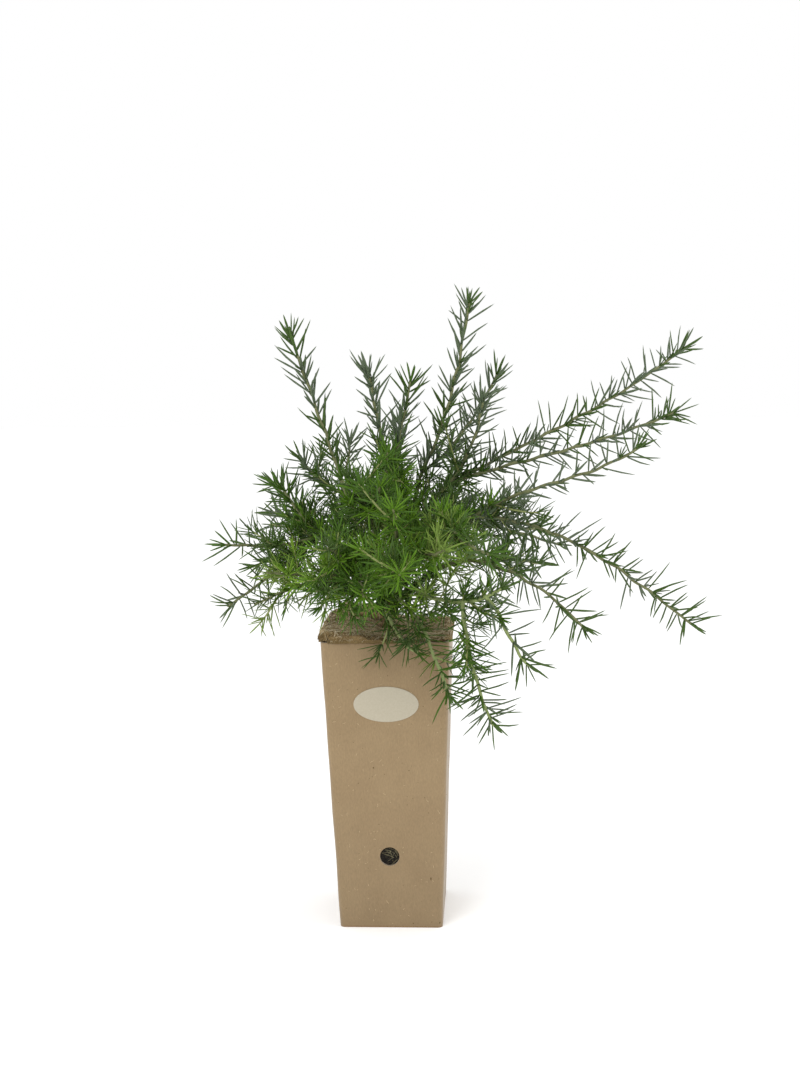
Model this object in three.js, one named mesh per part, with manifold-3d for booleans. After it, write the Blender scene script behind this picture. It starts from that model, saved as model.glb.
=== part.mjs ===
// A young juniper-leaved grevillea in a tall square cardboard pot, with a coir mat over the potting mix.
// Millimetres, +Z up. The origin is the centre of the pot's flat underside, and -Y is the labelled front.
// Each limb leaves the trunk's flank and runs to a fork. Its inner part is a bare bough. Its outer part is
// the stem of one mass of needles, with shoots that end at a bearing, reach and height, and then short side
// shoots and needles by a rule.
import * as THREE from "three";
import { mergeVertices } from "three/addons/utils/BufferGeometryUtils.js";
import Module from "manifold-3d";

const wasm = await Module();
wasm.setup();

// Driving dimensions
const CLEAR = 0.3;
const POT = {
  height: 235, top: 101, bottom: 82.4, wall: 2.5, base: 2.5, corner: 4, innerCorner: 3, cornerSegments: 3,
};
const DRAIN = { height: 60, radius: 7.8, sides: 24, depth: 12 };
const LABEL = { height: 185.5, width: 51, tall: 28.5, thick: 0.3, segments: 14 };
const SOIL_DEPTH = 8;
const MAT = {
  above: 1.4, rise: 7, riseFrom: -15, riseTo: 40, inset: 0.6, cells: 8, edge: 0.99, cornerFrom: 1.8,
  cornerCut: 3.2, layers: 4, undercut: 0.2, bevel: 2.4, spread: [0, 0, 3.4, 3.7, 2.2],
  leftSpread: [0, 0, 0.8, 1.4, 1], overhang: 2.5,
};
const WAVES = { height: 0.6, x: 0.11, y: 0.13, start: 1 };
const HOLE = { radius: 11, sides: 12 };
const SLIT = { width: 1.6, length: 70, turn: 28 };
const CUT_DEPTH = 40;
const FLAP = {
  width: 34, depth: 25, thick: 4.5, x: -21, y: 29, cells: 5, slope: 0.08, skew: 0.25, above: 1.5,
};
const TRUNK = { height: 56, foot: 4.4, top: 2.4, lean: [3, 6], sides: 10, steps: 10 };
const FLARE = { size: 3.4, height: 9, ridges: 4, ridge: 0.22, turn: 0.6 };
const BOUGH = { foot: 1.8, end: 1.5, sides: 5, steps: 4, share: 0.42 };
const STEM = { foot: 1.6, fork: 1.4, tip: 0.9 };
const HANDLE = 0.36;
const SPRAY = {
  most: 2, from: 10, span: 62, last: 0.7, length: 40, shortest: 0.75, longest: 1.1, angle: 46, lift: 0.35,
  turn: 2, foot: 0.9, tip: 0.6, checks: 6,
};
const CROWN = { centre: new THREE.Vector3(5, -20, 295), reach: new THREE.Vector3(105, 130, 90) };
const NEEDLE = {
  pitch: 4.6, length: 25, wide: 56, narrow: 36, rise: 0.2, tipSize: 0.72, crowding: 1.15, leanVaries: 0.15,
  lengthVaries: 0.12, radius: 0.5, fewest: 3,
};
const TWIG_SIDES = 3;
const UPRIGHT = 0.05;
const SMALLEST_EDGE = 0.02;
const SAME_POINT = 1e-4;
const STREAM = { seedFactor: 7919, start: 104729, factor: 1664525, step: 1013904223, range: 2 ** 32 };
const SPACE = { margin: 1.2, samples: 4, step: 4, potSides: 3.5, potTop: 2 };
const GOLDEN_ANGLE = THREE.MathUtils.degToRad(137.5);
const UP = new THREE.Vector3(0, 0, 1);

const SOIL_TOP = POT.height - SOIL_DEPTH;

// Materials, one for each kind of surface
const paint = (color, roughness) => new THREE.MeshStandardMaterial({ color, roughness, metalness: 0 });
const CARDBOARD = paint(0xa48d6b, 0.9);
const PAPER = paint(0xc6bda9, 0.85);
const COIR = paint(0x75664a, 1);
const POTTING_MIX = paint(0x2c2620, 1);
const BARK = paint(0x6f5a41, 0.85);
const LEAVES = paint(0x3e6630, 0.6);

// The limbs. A place is a bearing round the pot (0 at the front, 90 at the right), a reach from the pot's
// axis and a height above the rim. A limb sets out at the angle leave above the level and ends at the angle
// end. A limb's foot is its height on the trunk, and its place is its fork. Its first shoot grows on from
// the fork, and each further one leaves that shoot at the share "at" along it.
const LIMBS = {
  upper_left: {
    foot: 48, bearing: -81, reach: 31, height: 106, leave: 56, end: 74,
    shoots: [
      { bearing: -74, reach: 74, height: 238, leave: 74, end: 72 },
      { at: 0.03, bearing: -112, reach: 78, height: 138, leave: 16, end: 50 },
    ],
  },
  upper_middle: {
    foot: 56, bearing: 12, reach: 10, height: 120, leave: 86, end: 90,
    shoots: [
      { bearing: -19, reach: 32, height: 209, leave: 78, end: 70 },
      { at: 0.05, bearing: 116, reach: 23, height: 200, leave: 60, end: 72 },
      { at: 0.08, bearing: 5, reach: 78, height: 150, leave: 35, end: 30 },
    ],
  },
  upper_right: {
    foot: 46, bearing: 118, reach: 30, height: 122, leave: 50, end: 74,
    shoots: [
      { bearing: 90, reach: 68, height: 261, leave: 62, end: 80 },
      { at: 0.03, bearing: 114, reach: 98, height: 203, leave: 30, end: 58 },
    ],
  },
  right_high: {
    foot: 40, bearing: 90, reach: 46, height: 115, leave: 44, end: 50,
    shoots: [
      { bearing: 104, reach: 248, height: 220, leave: 26, end: 36 },
      { at: 0.04, bearing: 85, reach: 226, height: 173, leave: 18, end: 24 },
      { at: 0.02, bearing: 76, reach: 81, height: 186, leave: 46, end: 76 },
    ],
  },
  right_low: {
    foot: 29, bearing: 69, reach: 70, height: 94, leave: 46, end: 12,
    shoots: [
      { bearing: 76, reach: 242, height: 14, leave: 2, end: -38 },
      { at: 0.02, bearing: 68, reach: 209, height: 152, leave: 34, end: 34 },
      { at: 0.08, bearing: 104, reach: 128, height: 80, leave: 2, end: 22 },
    ],
  },
  right_hanging: {
    foot: 22, bearing: 56, reach: 86, height: 63, leave: 42, end: 0,
    shoots: [
      { bearing: 54, reach: 186, height: 22, leave: -5, end: -40 },
      { at: 0.05, bearing: 98, reach: 124, height: 50, leave: 0, end: -12 },
    ],
  },
  right_lowest: {
    foot: 11, bearing: 20, reach: 73, height: 45, leave: 38, end: 2,
    shoots: [
      { bearing: 36, reach: 154, height: 55, leave: -18, end: 32 },
      { at: 0.55, bearing: 35.3, reach: 145, height: -48, leave: -85, end: -58 },
      { at: 0.82, bearing: 51, reach: 143, height: -10, leave: -44, end: -40 },
    ],
  },
  rim_front: {
    foot: 14, bearing: 1, reach: 57, height: 42, leave: 46, end: -50,
    shoots: [
      { bearing: 20, reach: 82, height: -2, leave: -86, end: -8 },
      { at: 0.02, bearing: 33, reach: 94, height: -36, leave: -12, end: -64 },
    ],
  },
  front_middle: {
    foot: 28, bearing: 10, reach: 80, height: 68, leave: 40, end: 8,
    shoots: [
      { bearing: 7, reach: 171, height: 73, leave: 8, end: 6 },
      { at: 0.04, bearing: 6, reach: 151, height: 116, leave: 40, end: 25 },
      { at: 0.03, bearing: 19, reach: 159, height: 87, leave: 15, end: 15 },
    ],
  },
  front_right: {
    foot: 36, bearing: 28, reach: 82, height: 88, leave: 46, end: 14,
    shoots: [
      { bearing: 27, reach: 184, height: 85, leave: 8, end: -4 },
      { at: 0.03, bearing: 24, reach: 153, height: 100, leave: 24, end: 20 },
    ],
  },
  front_left: {
    foot: 21, bearing: -14, reach: 70, height: 67, leave: 42, end: 10,
    shoots: [
      { bearing: -13, reach: 143, height: 88, leave: 10, end: 20 },
      { at: 0.04, bearing: -3, reach: 140, height: 52, leave: -10, end: -14 },
      { at: 0.06, bearing: -18, reach: 137, height: 55, leave: -12, end: 0 },
    ],
  },
  front_high: {
    foot: 43, bearing: -12, reach: 48, height: 98, leave: 56, end: 42,
    shoots: [
      { bearing: -13, reach: 92, height: 133, leave: 38, end: 42 },
      { at: 0.05, bearing: 2, reach: 110, height: 128, leave: 26, end: 34 },
    ],
  },
  left_low: {
    foot: 18, bearing: -50, reach: 54, height: 46, leave: 36, end: 6,
    shoots: [
      { bearing: -60, reach: 115, height: 32, leave: 4, end: -20 },
      { at: 0.05, bearing: -46, reach: 119, height: 61, leave: 18, end: 10 },
    ],
  },
  left: {
    foot: 34, bearing: -92, reach: 46, height: 80, leave: 34, end: 14,
    shoots: [
      { bearing: -67, reach: 133, height: 78, leave: -18, end: 8 },
      { at: 0.03, bearing: -72, reach: 130, height: 27, leave: -32, end: -30 },
      { at: 0.04, bearing: -116, reach: 110, height: 114, leave: 22, end: 24 },
      { at: 0.06, bearing: -96, reach: 90, height: 119, leave: 14, end: 40 },
    ],
  },
  back_left: {
    foot: 28, bearing: -136, reach: 56, height: 72, leave: 44, end: 18,
    shoots: [
      { bearing: -134, reach: 150, height: 84, leave: 12, end: 14 },
      { at: 0.05, bearing: -108, reach: 122, height: 46, leave: -8, end: -20 },
      { at: 0.06, bearing: -160, reach: 112, height: 147, leave: 44, end: 52 },
    ],
  },
  back: {
    foot: 46, bearing: 176, reach: 46, height: 92, leave: 54, end: 38,
    shoots: [
      { bearing: 178, reach: 128, height: 160, leave: 38, end: 50 },
      { at: 0.05, bearing: -170, reach: 164, height: 62, leave: 4, end: -22 },
    ],
  },
  back_right: {
    foot: 34, bearing: 138, reach: 58, height: 78, leave: 44, end: 20,
    shoots: [
      { bearing: 140, reach: 172, height: 92, leave: 14, end: 12 },
      { at: 0.05, bearing: 118, reach: 160, height: 56, leave: 0, end: -20 },
      { at: 0.06, bearing: 158, reach: 130, height: 118, leave: 30, end: 44 },
    ],
  },
};

// A repeatable stream of numbers from 0 to 1
function chance(seed) {
  let state = (seed * STREAM.seedFactor + STREAM.start) % STREAM.range;
  return () => {
    state = (state * STREAM.factor + STREAM.step) % STREAM.range;
    return state / STREAM.range;
  };
}

const mix = THREE.MathUtils.lerp;
const radians = THREE.MathUtils.degToRad;

// Solids: geometry in and out of manifold-3d
function solid(geometry) {
  const bare = geometry.clone();
  bare.deleteAttribute("normal");
  bare.deleteAttribute("uv");
  const merged = mergeVertices(bare, SAME_POINT);
  const faces = [];
  const index = merged.index.array;
  for (let i = 0; i < index.length; i += 3) {
    const [a, b, c] = [index[i], index[i + 1], index[i + 2]];
    if (a !== b && b !== c && c !== a) {
      faces.push(a, b, c);
    }
  }
  return new wasm.Manifold(
    new wasm.Mesh({
      numProp: 3,
      vertProperties: new Float32Array(merged.attributes.position.array),
      triVerts: new Uint32Array(faces),
    }),
  );
}

function largestBody(manifold) {
  const bodies = manifold.decompose();
  return bodies.reduce((best, body) => (body.volume() > best.volume() ? body : best));
}

function mesh(name, material, manifold) {
  const made = manifold.getMesh();
  const geometry = new THREE.BufferGeometry();
  geometry.setAttribute("position", new THREE.BufferAttribute(new Float32Array(made.vertProperties), 3));
  geometry.setIndex(new THREE.BufferAttribute(new Uint32Array(made.triVerts), 1));
  geometry.computeVertexNormals();
  const part = new THREE.Mesh(geometry, material);
  part.name = name;
  return part;
}

// Moves every vertex of a geometry with a function that changes the point it is given
function reshape(geometry, move) {
  const position = geometry.attributes.position;
  const point = new THREE.Vector3();
  for (let i = 0; i < position.count; i++) {
    point.fromBufferAttribute(position, i);
    move(point);
    position.setXYZ(i, point.x, point.y, point.z);
  }
  return geometry;
}

// Pot
const potHalf = (height) => mix(POT.bottom, POT.top, height / POT.height) / 2;

function roundedSquare(half, corner) {
  const shape = new THREE.Shape();
  const flat = half - corner;
  shape.absarc(flat, flat, corner, 0, Math.PI / 2);
  shape.absarc(-flat, flat, corner, Math.PI / 2, Math.PI);
  shape.absarc(-flat, -flat, corner, Math.PI, 1.5 * Math.PI);
  shape.absarc(flat, -flat, corner, 1.5 * Math.PI, 2 * Math.PI);
  return shape;
}

// A square box between two heights that keeps "inset" inside the pot's outer faces
function taperedBox(from, to, inset, corner) {
  const half = potHalf(to) - inset;
  const geometry = new THREE.ExtrudeGeometry(roundedSquare(half, corner), {
    depth: to - from,
    bevelEnabled: false,
    curveSegments: POT.cornerSegments,
  });
  return reshape(geometry, (p) => {
    p.z += from;
    const scale = (potHalf(p.z) - inset) / half;
    p.x *= scale;
    p.y *= scale;
  });
}

function pot() {
  const outer = solid(taperedBox(0, POT.height, 0, POT.corner));
  const inner = solid(taperedBox(POT.base, POT.height + 1, POT.wall, POT.innerCorner));
  const drill = new THREE.CylinderGeometry(DRAIN.radius, DRAIN.radius, DRAIN.depth, DRAIN.sides);
  drill.translate(0, -potHalf(DRAIN.height), DRAIN.height);
  return mesh("pot", CARDBOARD, outer.subtract(inner).subtract(solid(drill)));
}

function label() {
  const oval = new THREE.Shape();
  oval.absellipse(0, 0, LABEL.width / 2, LABEL.tall / 2, 0, 2 * Math.PI);
  const geometry = new THREE.ExtrudeGeometry(oval, {
    depth: LABEL.thick,
    bevelEnabled: false,
    curveSegments: LABEL.segments,
  });
  const slope = Math.atan((POT.top - POT.bottom) / 2 / POT.height);
  geometry.rotateX(Math.PI / 2 + slope);
  geometry.translate(0, -potHalf(LABEL.height) - CLEAR / 2, LABEL.height);
  return mesh("label", PAPER, solid(geometry));
}

function pottingMix() {
  const block = taperedBox(POT.base + CLEAR, SOIL_TOP, POT.wall + CLEAR, POT.innerCorner);
  return mesh("potting_mix", POTTING_MIX, solid(block));
}

// Coir mat: a square of coir that fills the pot's mouth, lies over its rim and swells up on the left, with a
// slit where it was laid round the trunk
function matTop(x, y) {
  const swell = THREE.MathUtils.smoothstep(-x, MAT.riseFrom, MAT.riseTo);
  const wave = WAVES.height * Math.sin(WAVES.x * x + WAVES.start) * Math.cos(WAVES.y * y);
  return POT.height + MAT.above + MAT.rise * swell + wave;
}

function coirMat() {
  const inside = potHalf(SOIL_TOP) - POT.wall - MAT.inset;
  const rim = POT.height + CLEAR;
  const geometry = new THREE.BoxGeometry(2, 2, MAT.layers, MAT.cells, MAT.cells, MAT.layers);
  reshape(geometry, (p) => {
    const layer = Math.round(p.z + MAT.layers / 2);
    const top = matTop(p.x * inside, p.y * inside);
    const low = [SOIL_TOP + CLEAR, rim, rim + MAT.undercut];
    const height = [...low, Math.max(top - MAT.bevel, rim + 2 * MAT.undercut), top][layer];
    const nearCorner = Math.max(0, Math.abs(p.x) + Math.abs(p.y) - MAT.cornerFrom) / (2 - MAT.cornerFrom);
    const cut = MAT.cornerCut * nearCorner;
    const spread = MAT.spread[layer];
    const outX = (Math.abs(p.x) > MAT.edge ? spread : 0) + (p.x < -MAT.edge ? MAT.leftSpread[layer] : 0);
    const outY = Math.abs(p.y) > MAT.edge ? spread : 0;
    p.set(p.x * (inside + outX - cut), p.y * (inside + outY - cut), height);
  });
  const hole = new THREE.CylinderGeometry(HOLE.radius, HOLE.radius, CUT_DEPTH, HOLE.sides);
  hole.rotateX(Math.PI / 2);
  hole.translate(0, 0, POT.height);
  const slit = new THREE.BoxGeometry(SLIT.width, SLIT.length, CUT_DEPTH);
  slit.translate(0, SLIT.length / 2, POT.height);
  slit.rotateZ(radians(SLIT.turn));
  const slitted = solid(geometry).subtract(solid(hole)).subtract(solid(slit));
  return mesh("coir_mat", COIR, largestBody(slitted));
}

// The corner of the mat that was folded up behind the slit
function coirFlap() {
  const geometry = new THREE.BoxGeometry(FLAP.width, FLAP.depth, FLAP.thick, FLAP.cells, FLAP.cells, 1);
  reshape(geometry, (p) => {
    const thick = p.z < 0 ? 0 : FLAP.thick;
    const x = p.x + FLAP.x - FLAP.skew * p.y;
    const y = p.y + FLAP.y;
    p.set(x, y, matTop(x, y) + FLAP.above + FLAP.slope * p.y + thick);
  });
  return mesh("coir_flap", COIR, solid(geometry));
}

// Limbs
// A closed tube of n sides round a curve, whose radius is a function of the share along it and the angle
// round it
function tube(curve, radiusAt, sides, steps) {
  const geometry = new THREE.CylinderGeometry(1, 1, 1, sides, steps);
  const frames = curve.computeFrenetFrames(steps);
  const centres = curve.getPoints(steps);
  return reshape(geometry, (p) => {
    const step = Math.round((p.y + 0.5) * steps);
    const across = p.x;
    const along = -p.z;
    const radius = radiusAt(step / steps, Math.atan2(along, across));
    p.copy(centres[step]);
    p.addScaledVector(frames.normals[step], across * radius);
    p.addScaledVector(frames.binormals[step], along * radius);
  });
}

const heading = (bearing, angle) =>
  new THREE.Vector3(
    Math.sin(bearing) * Math.cos(angle),
    -Math.cos(bearing) * Math.cos(angle),
    Math.sin(angle),
  );

const placeOf = (spot) =>
  heading(radians(spot.bearing), 0).multiplyScalar(spot.reach).setZ(POT.height + spot.height);

// One bending limb from a start to a spot, level in plan, that leaves and ends at the spot's angles
function path(start, spot) {
  const tip = placeOf(spot);
  const run = tip.clone().sub(start);
  const bearing = Math.atan2(run.x, -run.y);
  const handle = run.length() * HANDLE;
  const first = start.clone().addScaledVector(heading(bearing, radians(spot.leave)), handle);
  const last = tip.clone().addScaledVector(heading(bearing, radians(spot.end)), -handle);
  return new THREE.CubicBezierCurve3(start, first, last, tip);
}

const trunkFoot = new THREE.Vector3(0, 0, SOIL_TOP + CLEAR);
const trunkAxis = new THREE.QuadraticBezierCurve3(
  trunkFoot,
  trunkFoot.clone().add(new THREE.Vector3(-TRUNK.lean[0], 0, TRUNK.height / 2)),
  trunkFoot.clone().add(new THREE.Vector3(TRUNK.lean[0], TRUNK.lean[1], TRUNK.height)),
);

function trunkRadius(share, angle) {
  const flare = Math.exp(-(share * TRUNK.height) / FLARE.height);
  const ridges = 1 + FLARE.ridge * flare * Math.cos(FLARE.ridges * angle + FLARE.turn);
  return (mix(TRUNK.foot, TRUNK.top, share) + FLARE.size * flare) * ridges;
}

// The trunk, grown on all sides by "extra", with its foot cut flat on the potting mix
function trunkSolid(extra) {
  const radiusAt = (share, angle) => trunkRadius(share, angle) + extra;
  const column = tube(trunkAxis, radiusAt, TRUNK.sides, TRUNK.steps);
  const firstRing = trunkFoot.z + TRUNK.height / TRUNK.steps / 2;
  reshape(column, (p) => {
    p.z = p.z < firstRing ? trunkFoot.z : p.z;
  });
  return solid(column);
}

// The stretch of a cubic curve between two shares, as a cubic curve of its own
function stretch(curve, from, to) {
  const [start, end] = [curve.getPoint(from), curve.getPoint(to)];
  const third = (to - from) / 3;
  const slope = (share) => {
    const rest = 1 - share;
    const first = curve.v1.clone().sub(curve.v0);
    const middle = curve.v2.clone().sub(curve.v1);
    const last = curve.v3.clone().sub(curve.v2);
    const sum = first.multiplyScalar(3 * rest * rest).addScaledVector(middle, 6 * rest * share);
    return sum.addScaledVector(last, 3 * share * share);
  };
  const first = start.clone().addScaledVector(slope(from), third);
  const last = end.clone().addScaledVector(slope(to), -third);
  return new THREE.CubicBezierCurve3(start, first, last, end);
}

// Every limb's bough, the stem that grows on from it to the fork, and the shoots from there
const limbs = Object.entries(LIMBS).map(([name, limb], row) => {
  const whole = path(trunkAxis.getPoint(limb.foot / TRUNK.height), limb);
  const gap = CLEAR / whole.getLength();
  const bough = stretch(whole, 0, BOUGH.share);
  const inner = stretch(whole, BOUGH.share + gap, 1);
  const main = path(inner.v3, limb.shoots[0]);
  const shoots = limb.shoots.map((spot, i) => (i === 0 ? main : path(main.getPoint(spot.at), spot)));
  return { name, row, bough, inner, shoots };
});

// Space: a mass keeps to the points that lie nearer to its own shoots than to those of any other mass
const pointsAlong = (curve) => curve.getPoints(Math.ceil(curve.getLength() / SPACE.step));
const shootPoints = limbs.map((limb) => [limb.inner, ...limb.shoots].flatMap(pointsAlong));
const boughPoints = limbs.flatMap((limb) => pointsAlong(limb.bough));
const trunkPoints = pointsAlong(trunkAxis);
const distanceTo = (points, p) => Math.min(...points.map((q) => q.distanceTo(p)));

function inPot(p) {
  const half = potHalf(Math.min(p.z, POT.height)) + MAT.overhang + SPACE.potSides;
  const top = POT.height + MAT.above + MAT.rise + FLAP.thick + SPACE.potTop;
  return p.z < top && Math.abs(p.x) < half && Math.abs(p.y) < half;
}

function keepsSpace(p, row, radius) {
  const nearBough = distanceTo(boughPoints, p) < BOUGH.foot + radius + SPACE.margin;
  const nearTrunk = distanceTo(trunkPoints, p) < TRUNK.foot + radius + SPACE.margin;
  const reach = distanceTo(shootPoints[row], p) + SPACE.margin + 2 * radius;
  const nearest = shootPoints.every((points, i) => i === row || distanceTo(points, p) > reach);
  return nearest && !nearBough && !nearTrunk && !inPot(p);
}

// The direction that leans away from a stem at an angle, turned round it
function leaning(tangent, turn, angle) {
  const side = new THREE.Vector3().crossVectors(tangent, UP);
  if (side.length() < UPRIGHT) {
    side.set(1, 0, 0);
  }
  side.normalize().applyAxisAngle(tangent, turn);
  return tangent.clone().multiplyScalar(Math.cos(angle)).addScaledVector(side, Math.sin(angle)).normalize();
}

// A needled twig is a three-sided tube with a ring at every needle. One corner of each ring is drawn out
// into the needle, the next corner back in the next ring, and the tube turns so that needles follow the
// golden angle.
function twig(curve, foot, tip, row, random) {
  const steps = Math.max(NEEDLE.fewest, Math.round(curve.getLength() / NEEDLE.pitch));
  const cornerTurn = (2 * Math.PI) / TWIG_SIDES;
  const shareAt = (step) => 1 - (1 - step / steps) ** NEEDLE.crowding;
  const turnAt = (step, corner) => corner * cornerTurn + step * (GOLDEN_ANGLE - cornerTurn);
  const varied = (range) => mix(1 - range, 1 + range, random());
  const needleTips = Array.from({ length: steps + 1 }, (_, step) => {
    const share = shareAt(step);
    const centre = curve.getPoint(share);
    const lean = mix(NEEDLE.wide, NEEDLE.narrow, share ** 2) * varied(NEEDLE.leanVaries);
    const length = NEEDLE.length * mix(1, NEEDLE.tipSize, share ** 2) * varied(NEEDLE.lengthVaries);
    const direction = leaning(curve.getTangent(share), turnAt(step, -step), radians(lean));
    direction.addScaledVector(UP, NEEDLE.rise).normalize();
    const samples = Array.from({ length: SPACE.samples }, (_, i) =>
      centre.clone().addScaledVector(direction, (length * (i + 1)) / SPACE.samples),
    );
    const kept = step > 0 && step < steps && samples.every((p) => keepsSpace(p, row, NEEDLE.radius));
    return kept ? samples.at(-1) : null;
  });
  return solid(
    reshape(new THREE.CylinderGeometry(1, 1, 1, TWIG_SIDES, steps), (p) => {
      const step = Math.round((p.y + 0.5) * steps);
      if (p.x === 0 && p.z === 0) {
        p.copy(curve.getPoint(step / steps));
        p.addScaledVector(curve.getTangent(1), step > 0 ? NEEDLE.length * NEEDLE.tipSize : 0);
        return;
      }
      const corner = Math.round(Math.atan2(p.x, p.z) / cornerTurn);
      if ((step + corner) % TWIG_SIDES === 0 && needleTips[step]) {
        p.copy(needleTips[step]);
        return;
      }
      const share = shareAt(step);
      const outward = leaning(curve.getTangent(share), turnAt(step, corner), Math.PI / 2);
      p.copy(curve.getPoint(share)).addScaledVector(outward, mix(foot, tip, share));
    }),
  );
}

// Short side shoots by rule, in the middle of the crown
function sprayPaths(curve, row, random) {
  const made = [];
  for (let i = 0; i < SPRAY.most; i++) {
    const share = (SPRAY.from + (SPRAY.span * (i + random())) / SPRAY.most) / curve.getLength();
    const start = curve.getPoint(Math.min(share, 1));
    if (share > SPRAY.last || start.clone().sub(CROWN.centre).divide(CROWN.reach).length() > 1) {
      break;
    }
    const turn = i * GOLDEN_ANGLE + row * SPRAY.turn;
    const direction = leaning(curve.getTangent(share), turn, radians(SPRAY.angle));
    const half = (SPRAY.length * mix(SPRAY.shortest, SPRAY.longest, random())) / 2;
    const middle = start.clone().addScaledVector(direction, half);
    const tip = middle.clone().addScaledVector(direction, half).addScaledVector(UP, SPRAY.lift * half);
    const spray = new THREE.QuadraticBezierCurve3(start, middle, tip);
    const checked = spray.getPoints(SPRAY.checks).slice(1);
    if (checked.every((p) => keepsSpace(p, row, SPRAY.foot))) {
      made.push(spray);
    }
  }
  return made;
}

function bough(limb) {
  const radiusAt = (share) => mix(BOUGH.foot, BOUGH.end, share);
  const tapered = solid(tube(limb.bough, radiusAt, BOUGH.sides, BOUGH.steps));
  return mesh("bough_" + limb.name, BARK, largestBody(tapered.subtract(trunkSolid(CLEAR))));
}

function mass(limb) {
  const random = chance(limb.row + 1);
  const stems = [limb.inner, ...limb.shoots];
  const sprays = stems.flatMap((stem) => sprayPaths(stem, limb.row, random));
  const pieces = [
    twig(limb.inner, STEM.foot, STEM.fork, limb.row, random),
    ...limb.shoots.map((shoot) => twig(shoot, STEM.fork, STEM.tip, limb.row, random)),
    ...sprays.map((spray) => twig(spray, SPRAY.foot, SPRAY.tip, limb.row, random)),
  ];
  const joined = pieces.reduce((whole, piece) => whole.add(piece));
  return mesh("needles_" + limb.name, LEAVES, largestBody(joined.asOriginal().simplify(SMALLEST_EDGE)));
}

const plant = new THREE.Group();
plant.add(pot(), label(), pottingMix(), coirMat(), coirFlap());
plant.add(mesh("trunk", BARK, trunkSolid(0)));
for (const limb of limbs) plant.add(bough(limb), mass(limb));

export default plant;
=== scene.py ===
# A young juniper-leaved grevillea in a tall square cardboard pot, with a coir mat over the potting mix.
# Lengths are millimetres and angles degrees, in the frame of the solids: the origin is the centre of the
# pot's flat underside, +Z is up and -Y is the pot's labelled front. MM turns a length into metres, CLEAR is
# the gap between pieces that touch on the plant, ANY_TURN about a full turn and BESIDE well outside the pot.
import math
from collections import namedtuple
from types import SimpleNamespace as Sizes

import bpy
import numpy as np
from mathutils import Matrix, Vector, noise
from mathutils.bvhtree import BVHTree


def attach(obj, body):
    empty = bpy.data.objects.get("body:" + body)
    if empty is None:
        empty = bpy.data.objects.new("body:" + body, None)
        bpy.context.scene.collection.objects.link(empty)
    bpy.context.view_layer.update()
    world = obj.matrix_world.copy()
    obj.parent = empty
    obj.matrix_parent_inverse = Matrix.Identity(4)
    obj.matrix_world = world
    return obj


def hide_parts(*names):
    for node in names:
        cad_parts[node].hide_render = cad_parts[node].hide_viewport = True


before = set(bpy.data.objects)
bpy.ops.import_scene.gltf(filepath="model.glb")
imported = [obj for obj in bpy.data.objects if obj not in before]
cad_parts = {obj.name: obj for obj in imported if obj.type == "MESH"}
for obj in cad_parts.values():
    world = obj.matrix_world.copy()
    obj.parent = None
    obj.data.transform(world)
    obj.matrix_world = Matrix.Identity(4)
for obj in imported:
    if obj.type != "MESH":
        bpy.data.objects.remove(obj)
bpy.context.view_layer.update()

MM = 0.001
CLEAR = 0.3
UP = np.array([0.0, 0.0, 1.0])
GOLDEN_ANGLE = math.radians(137.5)
FULL_TURN = 2 * math.pi
ANY_TURN = 6.3
BESIDE = 80

# Sizes that the solids have too
POT = Sizes(height=235, top=101, bottom=82.4, wall=2.5, base=2.5, corner=4)
DRAIN = Sizes(height=60, radius=7.8)
LABEL = Sizes(height=185.5, width=51, tall=28.5, thick=0.3)
SOIL_TOP = 227
MAT = Sizes(above=1.4, rise=7, overhang=2.5, hole=11)
FLAP_THICK = 4.5
TRUNK = Sizes(height=56, foot=4.4, top=2.4, flare=3.4, flare_height=9, lean=(3, 6))
BOUGH = Sizes(foot=1.8, end=1.5, share=0.42)
STEM = Sizes(foot=1.6, fork=1.4, tip=0.9, sides=8, back=1.5)
SPRAY = Sizes(
    most=2, start=10, span=62, last=0.7, row_turn=2, length=40, angle=46, lift=0.35, foot=0.9, tip=0.6,
    sides=6, checks=7,
)
CROWN = Sizes(centre=(5, -20, 295), reach=(105, 130, 90))
SPACE = Sizes(margin=1.2, step=4, pot_sides=3.5, pot_top=2)
HANDLE = 0.36

# Needles. They stand wide of the stem at its foot and narrow at its tip
NEEDLE = Sizes(pitch=2.1, length=25.5, width=2, wide=64, narrow=46, rise=0.2, varies=15, tufted=0.12)
YOUNG_NEEDLE = Sizes(pitch=2.0, length=21, width=1.3, wide=64, narrow=40, rise=0.18, varies=19, tufted=0.2)
ROW = Sizes(least=4, late=0.5, late_length=0.8, late_close=0.5, sunk=0.3)
TUFT = Sizes(needles=3, fewer=2, length=12, outward=0.7, onward=0.5, sunk=0.4, width=0.8)
BRUSH = Sizes(
    needles=6, length=0.8, wide=66, narrow=8, varies=16, depth=10, first=1.15, last=0.7, width=0.9,
)

# Twigs. The needles are young in the heart of the crown, and finer twigs grow in the middle of it
WAVE = Sizes(size=0.6, length=34, ease=6, paces=(1, 0.8, 1.3), heights=(1, 1, 0.8))
PATCH = 22
HEART = Sizes(centre=(-8, -75, 298), reach=(94, 130, 92), far_out=1.2, brighter=0.55)
FINE = Sizes(
    centre=(8, -28, 296), reach=(94, 128, 74), low=264, right=12, right_low=250, margin=1, checks=5, first=5,
    last=0.9, pitch=7.4, length=32, inner=1.15, outer=0.45, angle=52, lift=0.25, foot=0.7, tip=0.45, sides=5,
    bare=2, size=0.88, spray_pitch=1.3, spray_length=0.7,
)
# The low front of the crown, with its right and left parts, where sprays take brighter tints, partly as
# painted light
FRONT = Sizes(
    centre=(28, -95, 292), reach=(85, 95, 52), limit=0.95, right=38, right_low=284, right_high=330, left=-30,
    left_back=-20,
)

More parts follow.
